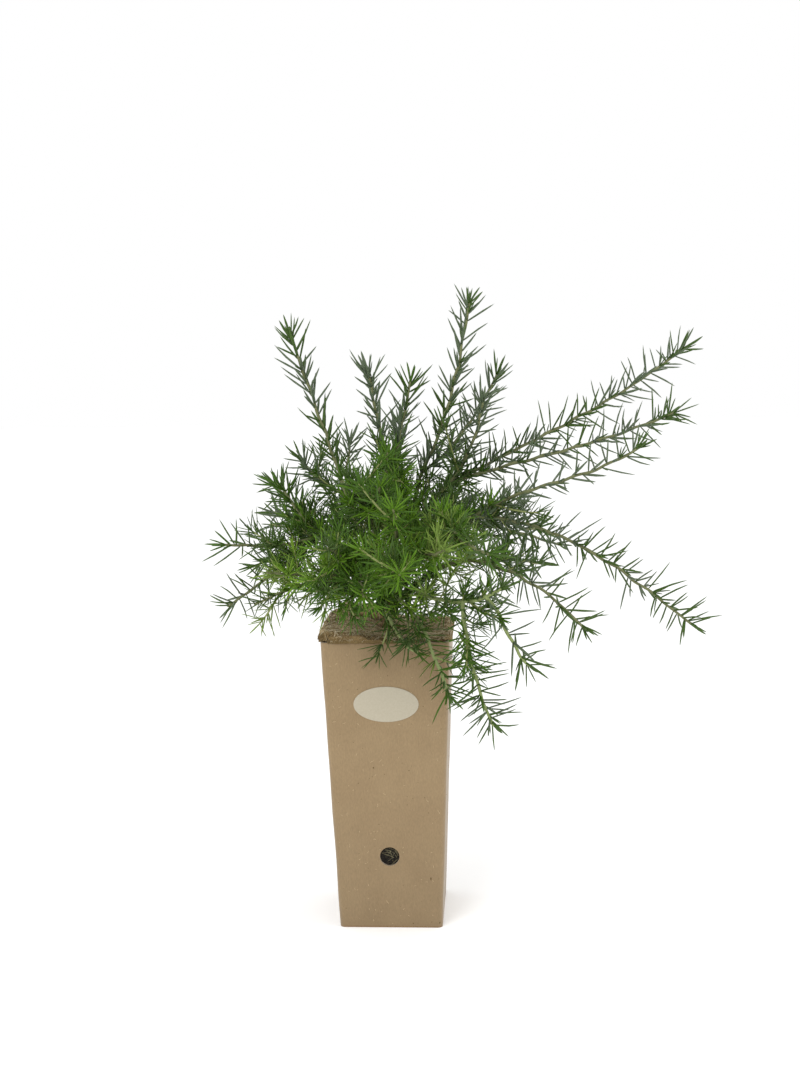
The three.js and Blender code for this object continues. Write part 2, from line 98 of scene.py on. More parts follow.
CHIPS = (
    # Place across and up the front, length, turn and thickness of the larger chips in the board
    (32.4, 40.5, 2.4, 84, 0.7), (38.4, 3.6, 1.6, 50, 0.6), (17.3, 3.2, 1.5, 40, 0.55),
    (-11.4, 133, 1.7, 70, 0.6), (16.4, 131.5, 1, 10, 0.45), (-24, 121, 1, 0, 0.45),
    (28.6, 183.5, 0.9, 30, 0.4),
)
CAMERA = Sizes(place=(89.5, -1184.5, 479.9), turn=3.83, pitch=8, roll=-1.09, lens=50.6)

# A spot is where a limb or a shoot ends: a bearing round the pot (0 at the front, 90 at the right), a reach
# from the pot's axis and a height above the rim. It sets out at the angle leave above the level and ends at
# the angle end. A further shoot leaves the first one at the share "at" along it. The rest says how its
# needles grow: how dense, how long, how many degrees closer to the stem, and how broad.
SPOT_PARTS = "bearing reach height leave end at dense long close broad"
Spot = namedtuple("Spot", SPOT_PARTS, defaults=(0, 1, 1, 0, 1))

# A limb has its foot, a height on the trunk, and its fork, where its first shoot grows on
Limb = namedtuple("Limb", "foot fork shoots stout", defaults=(1,))

# The limbs, as in the solids
LIMBS = {
    "upper_left": Limb(48, Spot(-81, 31, 106, 56, 74), [
        Spot(-74, 74, 238, 74, 72, close=16, broad=1.2),
        Spot(-112, 78, 138, 16, 50, at=0.03, dense=1.2),
    ]),
    "upper_middle": Limb(56, Spot(12, 10, 120, 86, 90), [
        Spot(-19, 32, 209, 78, 70, close=12, broad=1.15),
        Spot(116, 23, 200, 60, 72, at=0.05, close=12, broad=1.15),
        Spot(5, 78, 150, 35, 30, at=0.08),
    ]),
    "upper_right": Limb(46, Spot(118, 30, 122, 50, 74), [
        Spot(90, 68, 261, 62, 80, close=12, broad=1.15),
        Spot(114, 98, 203, 30, 58, at=0.03, close=10, broad=1.15),
    ]),
    "right_high": Limb(40, Spot(90, 46, 115, 44, 50), [
        Spot(104, 248, 220, 26, 36, dense=1.12),
        Spot(85, 226, 173, 18, 24, at=0.04, dense=1.1),
        Spot(76, 81, 186, 46, 76, at=0.02, dense=1.4),
    ]),
    "right_low": Limb(29, Spot(69, 70, 94, 46, 12), [
        Spot(76, 242, 14, 2, -38, dense=1.2, long=1.06),
        Spot(68, 209, 152, 34, 34, at=0.02, dense=0.8),
        Spot(104, 128, 80, 2, 22, at=0.08, dense=0.6),
    ]),
    "right_hanging": Limb(22, Spot(56, 86, 63, 42, 0), [
        Spot(54, 186, 22, -5, -40, long=1.15),
        Spot(98, 124, 50, 0, -12, at=0.05, dense=0.6),
    ]),
    "right_lowest": Limb(11, Spot(20, 73, 45, 38, 2), [
        Spot(36, 154, 55, -18, 32),
        Spot(35.3, 145, -48, -85, -58, at=0.55, dense=1.7, long=1.15),
        Spot(51, 143, -10, -44, -40, at=0.82, dense=0.6, long=1.2),
    ], 1.15),
    "rim_front": Limb(14, Spot(1, 57, 42, 46, -50), [
        Spot(20, 82, -2, -86, -8),
        Spot(33, 94, -36, -12, -64, at=0.02, dense=1.5),
    ], 1.2),
    "front_middle": Limb(28, Spot(10, 80, 68, 40, 8), [
        Spot(7, 171, 73, 8, 6, long=0.85, broad=0.75),
        Spot(6, 151, 116, 40, 25, at=0.04, broad=0.85),
        Spot(19, 159, 87, 15, 15, at=0.03, broad=0.85),
    ]),
    "front_right": Limb(36, Spot(28, 82, 88, 46, 14), [
        Spot(27, 184, 85, 8, -4),
        Spot(24, 153, 100, 24, 20, at=0.03),
    ]),
    "front_left": Limb(21, Spot(-14, 70, 67, 42, 10), [
        Spot(-13, 143, 88, 10, 20),
        Spot(-3, 140, 52, -10, -14, at=0.04),
        Spot(-18, 137, 55, -12, 0, at=0.06),
    ]),
    "front_high": Limb(43, Spot(-12, 48, 98, 56, 42), [
        Spot(-13, 92, 133, 38, 42),
        Spot(2, 110, 128, 26, 34, at=0.05),
    ]),
    "left_low": Limb(18, Spot(-50, 54, 46, 36, 6), [
        Spot(-60, 115, 32, 4, -20, dense=1.4),
        Spot(-46, 119, 61, 18, 10, at=0.05, dense=0.7),
    ]),
    "left": Limb(34, Spot(-92, 46, 80, 34, 14), [
        Spot(-67, 133, 78, -18, 8),
        Spot(-72, 130, 27, -32, -30, at=0.03),
        Spot(-116, 110, 114, 22, 24, at=0.04, dense=1.1),
        Spot(-96, 90, 119, 14, 40, at=0.06, dense=1.2),
    ]),
    "back_left": Limb(28, Spot(-136, 56, 72, 44, 18), [
        Spot(-134, 150, 84, 12, 14),
        Spot(-108, 122, 46, -8, -20, at=0.05),
        Spot(-160, 112, 147, 44, 52, at=0.06, dense=1.15),
    ]),
    "back": Limb(46, Spot(176, 46, 92, 54, 38), [
        Spot(178, 128, 160, 38, 50),
        Spot(-170, 164, 62, 4, -22, at=0.05),
    ]),
    "back_right": Limb(34, Spot(138, 58, 78, 44, 20), [
        Spot(140, 172, 92, 14, 12, dense=0.75),
        Spot(118, 160, 56, 0, -20, at=0.05, dense=0.7),
        Spot(158, 130, 118, 30, 44, at=0.06),
    ]),
}


def mix(a, b, share):
    return a + (b - a) * share


def chance(seed):
    """A repeatable stream of numbers from 0 to 1, the same as in the solids."""
    whole, factor, step = 2**32, 1664525, 1013904223
    state = (seed * 7919 + 104729) % whole

    def draw():
        nonlocal state
        state = (state * factor + step) % whole
        return state / whole

    return draw


def unit(vectors):
    vectors = np.asarray(vectors, float)
    return vectors / np.maximum(np.linalg.norm(vectors, axis=-1, keepdims=True), 1e-9)


# Meshes


class Batch:
    """Collects closed shapes in millimetres, each with a tint, and makes them one object."""

    def __init__(self):
        self.points, self.quads, self.triangles, self.count = [], [], [], 0

    def add(self, points, quads, triangles, tint=0):
        self.points.append(points)
        for faces, kept in ((quads, self.quads), (triangles, self.triangles)):
            kept.append((faces + self.count, np.full(len(faces), tint)))
        self.count += len(points)

    def make(self, name, materials, smooth=True):
        corners, tints, sizes = [], [], []
        for kept, size in ((self.quads, 4), (self.triangles, 3)):
            corners.append(np.concatenate([faces.ravel() for faces, _ in kept]))
            tints.append(np.concatenate([tint for _, tint in kept]))
            sizes.append(np.full(len(tints[-1]), size))
        corners, tints, sizes = np.concatenate(corners), np.concatenate(tints), np.concatenate(sizes)
        mesh = bpy.data.meshes.new(name)
        mesh.vertices.add(self.count)
        mesh.vertices.foreach_set("co", (np.concatenate(self.points) * MM).ravel())
        mesh.loops.add(len(corners))
        mesh.loops.foreach_set("vertex_index", corners)
        mesh.polygons.add(len(sizes))
        mesh.polygons.foreach_set("loop_start", np.concatenate([[0], np.cumsum(sizes)[:-1]]))
        mesh.polygons.foreach_set("material_index", tints)
        mesh.update(calc_edges=True)
        return dressed(mesh, materials, smooth)


def dressed(mesh, materials, smooth=True):
    """An object for a mesh, with its materials."""
    for material in materials:
        mesh.materials.append(material)
    if smooth:
        mesh.shade_smooth()
    return placed(mesh.name, mesh)


def placed(name, data):
    """A new object in the scene."""
    made = bpy.data.objects.new(name, data)
    bpy.context.scene.collection.objects.link(made)
    return made


def settle(made, slot, *nodes):
    """The piece rides on the one body and stands for these solids, which are hidden. The slot is not used."""
    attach(made, "root")
    if nodes:
        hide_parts(*nodes)


def stacked(rings, start, end):
    """Skins a stack of rings and closes it with a point at each end: its points, quads and triangles."""
    rings = np.asarray(rings, float)
    count, sides = rings.shape[:2]
    corner = np.arange(sides)
    beyond, first, last = (corner + 1) % sides, count * sides, (count - 1) * sides
    ring = np.arange(count - 1)[:, None] * sides
    quads = [ring + corner, ring + beyond, ring + sides + beyond, ring + sides + corner]
    low = np.stack([np.full(sides, first), beyond, corner], -1)
    high = np.stack([np.full(sides, first + 1), last + corner, last + beyond], -1)
    points = np.concatenate([rings.reshape(-1, 3), [start, end]])
    return points, np.stack(quads, -1).reshape(-1, 4), np.concatenate([low, high])


def tube(centres, radii, sides):
    """A closed tube round a line of points. A radius is one for each ring, or one for each corner of each."""
    centres = np.asarray(centres, float)
    along = unit(np.gradient(centres, axis=0))
    steep = abs(along[0][2]) >= 0.9
    side = unit(np.cross(along[0], np.array([1.0, 0.0, 0.0]) if steep else UP))
    sideways = []
    for direction in along:
        side = unit(side - direction * np.dot(side, direction))
        sideways.append(side)
    sideways = np.array(sideways)
    upward = np.cross(along, sideways)
    angles = (np.arange(sides) * FULL_TURN / sides)[None, :, None]
    radii = np.asarray(radii, float).reshape(len(centres), -1, 1)
    outward = np.cos(angles) * sideways[:, None] + np.sin(angles) * upward[:, None]
    return stacked(centres[:, None] + radii * outward, centres[0], centres[-1])


def applied(made):
    """Applies the object's modifiers to its mesh."""
    view = bpy.context.evaluated_depsgraph_get()
    mesh = bpy.data.meshes.new_from_object(made.evaluated_get(view))
    mesh.name = made.name
    old = made.data
    made.modifiers.clear()
    made.data = mesh
    bpy.data.meshes.remove(old)
    return made


def one_skin(made, voxel, rounds):
    """Gives overlapping shapes one even skin, and smooths it."""
    skin = made.modifiers.new("skin", "REMESH")
    skin.mode = "VOXEL"
    skin.voxel_size = voxel * MM
    even = made.modifiers.new("even", "SMOOTH")
    even.factor = 0.5
    even.iterations = rounds
    return applied(made)


def vectors_of(mesh, field):
    """The places ("co") or the normals ("normal") of a mesh's points."""
    vectors = np.empty(len(mesh.vertices) * 3)
    mesh.vertices.foreach_get(field, vectors)
    return vectors.reshape(-1, 3)


def move_points(mesh, places):
    """Moves the mesh's points to these places, in millimetres."""
    mesh.vertices.foreach_set("co", (places * MM).ravel())
    mesh.update()


def roughen(made, height):
    """Moves each point along its normal by height(place), in millimetres."""
    mesh = made.data
    places = vectors_of(mesh, "co") / MM
    moves = np.array([height(place) for place in places])
    move_points(mesh, places + vectors_of(mesh, "normal") * moves[:, None])
    mesh.shade_smooth()


def search_tree(made):
    """Finds where a line meets the object."""
    mesh = made.data
    return BVHTree.FromPolygons(vectors_of(mesh, "co"), [face.vertices for face in mesh.polygons])


# Finishes


def linear(red, green, blue):
    """A display colour, 0 to 255, as the linear colour that a shader takes."""
    return tuple(((c / 255 + 0.055) / 1.055) ** 2.4 for c in (red, green, blue)) + (1.0,)


class Finish:
    """A new material, and the nodes that feed its main shader."""

    def __init__(self, name, roughness, shine=0.5):
        self.material = bpy.data.materials.new(name)
        self.material.use_nodes = True
        self.tree = self.material.node_tree
        self.inputs = self.tree.nodes["Principled BSDF"].inputs
        self.feed("Roughness", roughness)
        self.feed("Specular IOR Level", shine)

    def feed(self, name, value, inputs=None):
        """Links an output to an input, or sets the input to a value."""
        socket = (inputs or self.inputs)[name]
        if isinstance(value, bpy.types.NodeSocket):
            self.tree.links.new(value, socket)
        else:
            socket.default_value = value

    def node(self, kind, inputs, **settings):
        """A new node with these settings and inputs."""
        made = self.tree.nodes.new("ShaderNode" + kind)
        for name, value in settings.items():
            setattr(made, name, value)
        for name, value in inputs.items():
            self.feed(name, value, made.inputs)
        return made

    def place(self, stretch=(1, 1, 1)):
        """Coordinates on the object, stretched."""
        where = self.node("TexCoord", {}).outputs["Object"]
        return self.node("Mapping", {"Scale": stretch, "Vector": where}).outputs["Vector"]

    def noise(self, size, detail=3.0, stretch=(1, 1, 1)):
        """Cloudy noise whose lumps are about size millimetres wide."""
        inputs = {"Scale": 1 / (size * MM), "Detail": detail, "Vector": self.place(stretch)}
        return self.node("TexNoise", inputs).outputs["Fac"]

    def ramp(self, value, *stops):
        """Turns a value into display colours at the given places, or into plain shares."""
        made = self.node("ValToRGB", {"Fac": value})
        ramp = made.color_ramp
        while len(ramp.elements) < len(stops):
            ramp.elements.new(1.0)
        for element, (place, tone) in zip(ramp.elements, stops):
            element.position = place
            element.color = linear(*tone) if isinstance(tone, tuple) else (tone, tone, tone, 1)
        return made.outputs["Color"]

    def blend(self, share, under, over, way="MULTIPLY"):
        """Lays one colour over another."""
        inputs = {"Factor": share, "A": under, "B": over}
        return self.node("Mix", inputs, data_type="RGBA", blend_type=way).outputs["Result"]

    def reckon(self, operation, a, b):
        return self.node("Math", {0: a, 1: b}, operation=operation).outputs["Value"]

    def along(self, axis, low, high):
        """0 at one place along an axis of the object and 1 at another, in millimetres."""
        value = self.node("SeparateXYZ", {"Vector": self.place()}).outputs[axis]
        inputs = {"From Min": low * MM, "From Max": high * MM, "Value": value}
        return self.node("MapRange", inputs).outputs["Result"]

    def specks(self, size, radius, share):
        """1 on small specks, at a share of the cells that are size millimetres wide."""
        cells = self.node("TexVoronoi", {"Scale": 1 / (size * MM), "Vector": self.place()}).outputs
        parts = self.node("SeparateColor", {"Color": cells["Color"]}).outputs
        chosen = self.reckon("LESS_THAN", parts["Red"], share)
        inputs = {"From Min": radius / size, "From Max": 0.4 * radius / size, "Value": cells["Distance"]}
        return self.reckon("MULTIPLY", self.node("MapRange", inputs).outputs["Result"], chosen)

    def relief(self, value, depth, strength=1.0):
        """Drives the shader's normal with a value, whose range stands for a depth in millimetres."""
        inputs = {"Strength": strength, "Distance": depth * MM, "Height": value}
        self.feed("Normal", self.node("Bump", inputs).outputs["Normal"])


def cardboard():
    made = Finish("cardboard", 0.85, 0.25)
    clouds = made.ramp(made.noise(26), (0.3, (137, 116, 86)), (0.7, (143, 122, 91)))
    grain = made.noise(0.9, 4.0, (1, 1, 0.35))
    grained = made.blend(0.2, clouds, grain, "OVERLAY")
    dark = made.reckon("MULTIPLY", made.specks(8, 0.5, 0.5), 0.5)
    specked = made.blend(dark, grained, linear(104, 84, 56), "MIX")
    # Painted shade and a real edge: the board is darker towards its bottom, as painted shade, and its lowest
    # 1.4 mm is the orange-brown line that its bottom edge has
    height = made.along("Z", 0, POT.height)
    edge_line_and_painted_shade = made.ramp(height, (0.0, (226, 196, 160)), (0.006, (238, 238, 238)), (0.5, (255, 255, 255)))
    made.feed("Base Color", made.blend(1.0, specked, edge_line_and_painted_shade))
    made.feed("Sheen Weight", 0.35)
    made.relief(grain, 0.12, 0.5)
    return made.material


def paper():
    made = Finish("label_paper", 0.7, 0.35)
    tones = made.ramp(made.noise(1.4, 5.0), (0.35, (169, 161, 142)), (0.65, (174, 166, 147)))
    made.feed("Base Color", tones)
    made.relief(made.noise(0.4), 0.03, 0.4)
    return made.material


def coir():
    """Felted strands, with painted shade low on the mat and along its front edge."""
    made = Finish("coir", 1.0, 0.1)
    strands = made.noise(1.3, 6.0)
    mixed = made.reckon("MULTIPLY", made.reckon("ADD", strands, made.noise(11, 2.0)), 0.5)
    rubbed = made.ramp(mixed, (0.3, (126, 109, 78)), (0.5, (172, 153, 116)), (0.72, (208, 189, 152)))
    # Painted shade: the strands are darker low on the mat, and darker again along its front edge
    height = made.along("Z", POT.height, POT.height + 9)
    shaded = made.ramp(height, (0.0, (212, 207, 194)), (0.85, (255, 250, 244)))
    front = made.along("Y", -POT.top / 2 - 1, -POT.top / 2 + 6)
    painted_front_shade = made.ramp(front, (0.5, (198, 192, 182)), (1.0, (255, 255, 255)))
    made.feed("Base Color", made.blend(1.0, rubbed, made.blend(1.0, shaded, painted_front_shade)))
    made.relief(strands, 0.8)
    return made.material


def potting_mix():
    made = Finish("potting_mix", 0.95)
    lumps = made.noise(2.2, 5.0)
    made.feed("Base Color", made.ramp(lumps, (0.35, (14, 12, 7)), (0.55, (32, 27, 17)), (0.75, (58, 49, 34))))
    made.relief(lumps, 0.8)
    return made.material


def bark():
    made = Finish("bark", 0.85, 0.25)
    folds = made.noise(1.8, 6.0, (1, 1, 0.4))
    tones = made.ramp(folds, (0.3, (74, 58, 40)), (0.5, (112, 92, 64)), (0.72, (146, 126, 92)))
    made.feed("Base Color", tones)
    made.relief(folds, 0.35)
    return made.material


def plain(name, colour, roughness, shine, size=5, smoother=0.08, rougher=0.08):
    """A plain base colour, with a roughness that varies along the piece."""
    made = Finish(name, roughness, shine)
    made.feed("Base Color", linear(*colour))
    stops = (0.3, roughness - smoother), (0.7, roughness + rougher)
    made.feed("Roughness", made.ramp(made.noise(size), *stops))
    return made.material


CARDBOARD, PAPER, COIR, POTTING_MIX, BARK = cardboard(), paper(), coir(), potting_mix(), bark()
FIBRES = [
    plain(name, colour, 0.8, 0.25, size=2, smoother=0.1, rougher=0.15)
    for name, colour in (
        ("coir_fibre_dark", (136, 118, 86)), ("coir_fibre", (182, 164, 128)),
        ("coir_fibre_pale", (222, 208, 178)),
    )
]
ROOT = plain("root", (118, 112, 86), 0.8, 0.2)
FLECKS = [plain("board_fibre", (186, 166, 132), 0.8, 0.2), plain("board_chip", (96, 78, 50), 0.85, 0.2)]
# The third stem colour is lighter than the woody one: painted light on the main stems of the stout limbs low
# at the front
WOODY, GREEN, PAINTED_LIT_GREEN = range(3)
STEM_TINTS = [
    plain("stem_woody", (110, 114, 78), 0.7, 0.3),
    plain("stem_green", (136, 144, 88), 0.6, 0.3),
    plain("stem_painted_lit_green", (136, 150, 94), 0.6, 0.3),
]

# Tints of the needles, and what chance deals out by spray in each part of the crown. The brighter tints low
# at the front are partly fresh growth and partly painted light
GREY, OLD, FULL, FRESH, YOUNG, PALE = range(6)
NEEDLE_TINTS = [
    plain("needles_" + name, colour, 0.55, shine)
    for name, colour, shine in (
        ("grey", (86, 100, 75), 0.25), ("old", (65, 89, 36), 0.22), ("full", (61, 93, 18), 0.22),
        ("fresh", (82, 118, 20), 0.22), ("young", (110, 143, 42), 0.22), ("pale", (110, 134, 56), 0.25),
    )
]
DEALT = Sizes(
    far_out=(GREY, GREY, OLD), outside=(GREY, OLD, OLD, FULL), inside=(OLD, FULL),
    front=(OLD, FULL, FULL, FULL, FRESH, FRESH, FRESH, PALE), right=(FULL, FRESH, PALE, PALE, PALE),
    left=(OLD, FULL, FRESH, PALE, PALE),
)


# Curves


class Curve:
    """A Bezier curve through its control points."""

    samples, nudge = 201, 0.001

    def __init__(self, *points):
        self.points = [np.asarray(point, float) for point in points]

    def at(self, share):
        share = np.asarray(share, float)[..., None]
        line = [point + share * 0 for point in self.points]
        while len(line) > 1:
            line = [mix(a, b, share) for a, b in zip(line, line[1:])]
        return line[0]

    def tangent(self, share):
        share = np.asarray(share)
        before, beyond = np.clip(share - self.nudge, 0, 1), np.clip(share + self.nudge, 0, 1)
        return unit(self.at(beyond) - self.at(before))

    def length(self):
        steps = np.diff(self.at(np.linspace(0, 1, self.samples)), axis=0)
        return float(np.linalg.norm(steps, axis=1).sum())

    def even(self, step):
        """Points about one step apart."""
        return self.at(np.linspace(0, 1, math.ceil(self.length() / step) + 1))


class Crooked(Curve):
    """A curve that sways a little from side to side between its two ends."""

    def __init__(self, curve, random):
        super().__init__(*curve.points)
        self.turns = curve.length() / WAVE.length
        self.starts = [random() * ANY_TURN for _ in range(4)]

    def at(self, share):
        share = np.asarray(share, float)
        size = WAVE.size * np.minimum(1, WAVE.ease * share * (1 - share))
        sway = [
            np.sin(share * ANY_TURN * self.turns * pace + start) * height
            for start, pace, height in zip(self.starts, WAVE.paces, WAVE.heights)
        ]
        return super().at(share) + np.stack(sway, -1) * size[..., None]


class Stretch(Curve):
    """The stretch of another curve between two shares."""

    def __init__(self, whole, low, high):
        self.whole, self.low, self.high = whole, low, high

    def at(self, share):
        return self.whole.at(mix(self.low, self.high, np.asarray(share, float)))


def heading(bearing, angle):
    """The direction at a bearing round the pot and an angle above the level."""
    bearing, angle = math.radians(bearing), math.radians(angle)
    level = math.cos(angle)
    return np.array([math.sin(bearing) * level, -math.cos(bearing) * level, math.sin(angle)])


def path(start, goal):
    """One bending limb from a start to a spot, level in plan, that leaves and ends at the spot's angles."""
    tip = heading(goal.bearing, 0) * goal.reach + UP * (POT.height + goal.height)
    run = tip - start
    bearing = math.degrees(math.atan2(run[0], -run[1]))
    handle = np.linalg.norm(run) * HANDLE
    leave, end = heading(bearing, goal.leave) * handle, heading(bearing, goal.end) * handle
    return Curve(start, start + leave, tip - end, tip)


def cut(curve, low, high):
    """A cubic curve's stretch between two shares, as a curve of its own."""
    a, b, c, d = curve.points

    def slope(share):
        rest = 1 - share
        return 3 * rest * rest * (b - a) + 6 * rest * share * (c - b) + 3 * share * share * (d - c)

    start, end, third = curve.at(low), curve.at(high), (high - low) / 3
    return Curve(start, start + slope(low) * third, end - slope(high) * third, end)


trunk_foot = np.array([0.0, 0.0, SOIL_TOP + CLEAR])
trunk_axis = Curve(
    trunk_foot,
    trunk_foot + (-TRUNK.lean[0], 0, TRUNK.height / 2),
    trunk_foot + (TRUNK.lean[0], TRUNK.lean[1], TRUNK.height),
)


def grown(row, name, limb):
    """A limb's bough, its stems (one on to the fork, and the shoots from there) and their needles' looks."""
    whole = path(trunk_axis.at(limb.foot / TRUNK.height), limb.fork)
    inner = cut(whole, BOUGH.share + CLEAR / whole.length(), 1)
    main = path(inner.at(1), limb.shoots[0])
    others = [path(main.at(shoot.at), shoot) for shoot in limb.shoots[1:]]
    return Sizes(
        name=name, row=row, stout=limb.stout, bough=cut(whole, 0, BOUGH.share),
        stems=[inner, main, *others], looks=[limb.fork, *limb.shoots],
    )


limbs = [grown(row, name, limb) for row, (name, limb) in enumerate(LIMBS.items())]
stem_points = [np.concatenate([stem.even(SPACE.step) for stem in limb.stems]) for limb in limbs]
bough_points = np.concatenate([limb.bough.even(SPACE.step) for limb in limbs])
trunk_points = trunk_axis.even(SPACE.step)


def distance(line, places):
    """How far each place is from the nearest point of a line."""
    return np.linalg.norm(places[:, None] - line[None], axis=2).min(axis=1)


def outness(place, region):
    """Below 1 inside a region that has a centre and a reach each way, above 1 outside it."""
    return np.linalg.norm((place - region.centre) / region.reach)


def pot_half(height):
    return mix(POT.bottom, POT.top, height / POT.height) / 2


def in_pot(places, margin=0.0):
    """True for each place that is in the pot or the mat, or within a margin of them."""
    half = pot_half(np.minimum(places[:, 2], POT.height)) + MAT.overhang + SPACE.pot_sides + margin
    top = POT.height + MAT.above + MAT.rise + FLAP_THICK + SPACE.pot_top + margin
    return (places[:, 2] < top) & (np.abs(places[:, 0]) < half) & (np.abs(places[:, 1]) < half)


def keeps_space(places, row, radius):
    """True for each place that is clear of pot and limbs, and nearer to its own stems than to others."""
    own = distance(stem_points[row], places) + SPACE.margin + 2 * radius
    kept = ~in_pot(places)
    kept &= distance(bough_points, places) >= BOUGH.foot + radius + SPACE.margin
    kept &= distance(trunk_points, places) >= TRUNK.foot + radius + SPACE.margin
    for other, line in enumerate(stem_points):
        if other != row:
            kept &= distance(line, places) > own
    return kept


def leaning(tangents, turns, angles):
    """Directions that lean away from a stem at their angles, turned round it, in arrays of one length."""
    side = np.cross(tangents, UP)
    upright = np.linalg.norm(side, axis=1) < 0.05
    side[upright] = (1, 0, 0)
    side = unit(side)
    turns, angles = np.asarray(turns)[:, None], np.asarray(angles)[:, None]
    side = side * np.cos(turns) + np.cross(tangents, side) * np.sin(turns)
    return unit(tangents * np.cos(angles) + side * np.sin(angles))


# Needles and twigs

# A needle's section from edge to edge over the top and back by the keel, as shares of its half width, and its
# half width along it
SECTION = np.array([(-1, 0.1), (-0.4, 0.45), (0.4, 0.45), (1, 0.1), (0, -0.75)])
OUTLINE = [(0, 0.5), (0.12, 0.92), (0.6, 1.0), (0.88, 0.58)]


def add_needles(batch, kept, roots, directions, ups, lengths, widths, bends, tint):
    """Adds those stiff keeled needles with sharp tips that are kept. A bend moves the tip to that place, in
    shares of the length."""
    if not kept.any():
        return
    rows = (roots, directions, ups, lengths, widths, bends)
    roots, directions, ups, lengths, widths, bends = (row[kept] for row in rows)
    rings, corners = len(OUTLINE), len(SECTION)
    side = unit(np.cross(directions, ups))
    top = np.cross(side, directions)
    parts = []
    for share, half in OUTLINE:
        centre = roots + (directions * share + bends * share**2) * lengths[:, None]
        for across, above in SECTION:
            offset = side * across + top * above
            parts.append(centre + offset * (half * widths / 2)[:, None])
    parts.append(roots + (directions + bends) * lengths[:, None])
    points = np.stack(parts, 1).reshape(-1, 3)
    corner = np.arange(corners)
    beyond = (corner + 1) % corners
    ring = np.arange(rings - 1)[:, None] * corners
    quads = np.stack([ring + corner, ring + beyond, ring + corners + beyond, ring + corners + corner], -1)
    last = (rings - 1) * corners
    tips = np.stack([last + corner, last + beyond, np.full(corners, rings * corners)], -1)
    cap = np.array([(0, 4, 3), (0, 3, 2), (0, 2, 1)])
    first = np.arange(len(roots))[:, None, None] * (rings * corners + 1)
    quads = (first + quads.reshape(1, -1, 4)).reshape(-1, 4)
    triangles = (first + np.concatenate([tips, cap])[None]).reshape(-1, 3)
    batch.add(points, quads, triangles, tint)


def clear_of_limbs(roots, tips):
    """True for each needle that stays out of the pot, the mat and the trunk."""
    kept = np.ones(len(roots), bool)
    into_pot = -1.5
    for share in (0.35, 0.7, 1.0):
        places = mix(roots, tips, share)
        kept &= ~in_pot(places, into_pot)
        kept &= distance(trunk_points, places) > TRUNK.foot
    return kept


def draws(random, count, low, high):
    return np.array([mix(low, high, random()) for _ in range(count)])


def column(random, count, low, high):
    return draws(random, count, low, high)[:, None]


def repeated(vector, count):
    return np.repeat(vector[None], count, 0)


def clothe(curve, foot, tip, leaves, random, kind, tint, fresh, look, size=1, bare=0, brush=True):
    """Sets needles along a twig in a golden spiral, small tufts in some axils and a brush at its tip."""
    size = look.long * size
    length = curve.length()
    count = max(ROW.least, int(look.dense * (length - bare) / kind.pitch))
    pair, second = np.divmod(np.arange(count), 2)
    place = (pair + 0.5 + second * draws(random, count, -0.2, 0.3)) / (pair[-1] + 1)
    share = mix(bare / length, 1, place)
    centres, tangents = curve.at(share), curve.tangent(share)
    turns = pair * GOLDEN_ANGLE + second * draws(random, count, 0.7, 1.8) + random() * ANY_TURN
    turns = turns + draws(random, count, -0.35, 0.35)
    late = share**3 if brush else share * 0
    angles = mix(kind.wide - look.close, kind.narrow - look.close * ROW.late_close, late)
    angles = np.radians(angles + draws(random, count, -kind.varies, kind.varies))
    lengths = kind.length * size * mix(1, ROW.late_length, late**2) * draws(random, count, 0.62, 1.08)
    directions = unit(leaning(tangents, turns, angles) + UP * kind.rise)
    bends = tangents * column(random, count, -0.12, 0.16) + UP * column(random, count, -0.04, 0.1)
    bends = bends + np.cross(tangents, directions) * column(random, count, -0.1, 0.1)
    radius = mix(foot, tip, share)
    roots = centres + directions * (radius * ROW.sunk)[:, None]
    widths = kind.width * look.broad * draws(random, count, 0.88, 1.1)
    kept = clear_of_limbs(roots, roots + (directions + bends) * lengths[:, None])
    newest = late > ROW.late
    for chosen, colour in ((kept & ~newest, tint), (kept & newest, fresh)):
        add_needles(leaves, chosen, roots, directions, tangents, lengths, widths, bends, colour)

    tufted = np.array([random() < kind.tufted for _ in range(count)]) & kept
    for i in np.flatnonzero(tufted):
        few = TUFT.needles - int(random() * TUFT.fewer)
        axis = unit(directions[i] * TUFT.outward + tangents[i] * TUFT.onward)
        spin = np.arange(few) * GOLDEN_ANGLE + random() * ANY_TURN
        around = leaning(repeated(axis, few), spin, np.radians(draws(random, few, 8, 46)))
        base = repeated(centres[i] + axis * (radius[i] * TUFT.sunk), few)
        small = TUFT.length * size * draws(random, few, 0.7, 1.3)
        fine = np.full(few, kind.width * TUFT.width)
        clear = clear_of_limbs(base, base + around * small[:, None])
        add_needles(leaves, clear, base, around, repeated(tangents[i], few), small, fine, around * 0, fresh)

    if not brush:
        return
    few = BRUSH.needles
    back = np.arange(few) / few
    end = curve.tangent(1.0)
    spin = (count + np.arange(few)) * GOLDEN_ANGLE + turns[0]
    angles = mix(BRUSH.wide, BRUSH.narrow, back) + draws(random, few, -BRUSH.varies, BRUSH.varies)
    around = unit(leaning(repeated(end, few), spin, np.radians(angles)) + UP * kind.rise)
    base = curve.at(1.0) - end * ((1 - back) * BRUSH.depth * size)[:, None]
    small = BRUSH.length * kind.length * size * mix(BRUSH.first, BRUSH.last, back)
    small = small * draws(random, few, 0.7, 1.15)
    curved = end * column(random, few, -0.06, 0.2) + UP * column(random, few, -0.05, 0.1)
    clear = clear_of_limbs(base, base + around * small[:, None])
    fine = np.full(few, kind.width * BRUSH.width)
    add_needles(leaves, clear, base, around, repeated(end, few), small, fine, curved, fresh)


